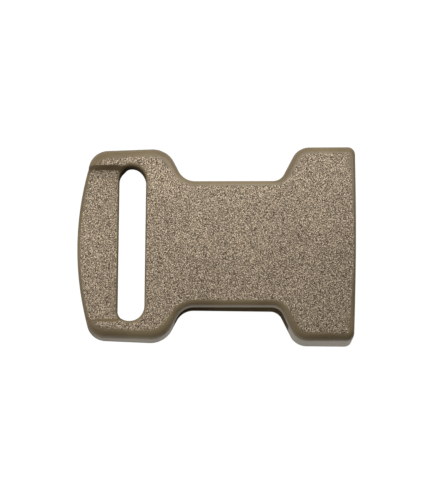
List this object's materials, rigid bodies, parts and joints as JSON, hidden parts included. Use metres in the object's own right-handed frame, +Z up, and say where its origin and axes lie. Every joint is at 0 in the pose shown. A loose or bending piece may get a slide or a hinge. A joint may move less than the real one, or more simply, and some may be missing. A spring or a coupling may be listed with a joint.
{
  "type": "side release buckle socket",
  "caption": "Female half of a side release buckle for flat webbing: hollow body with side windows, solid mouth lobes, and a curved web bar set low across a slotted loop.",
  "frame": {"origin": "middle of the socket's footprint, on the underside that it lies on", "axes": "+X out of the mouth, along the webbing; +Y across the webbing; +Z up, out of the top face"},
  "size_m": [0.05, 0.0352, 0.0116],
  "materials": {
    "plastic": "moulded, finely textured on the flat faces and smooth on the rounded edges"
  },
  "bodies": {
    "root": {"socket": "plastic"}
  },
  "joints": []
}
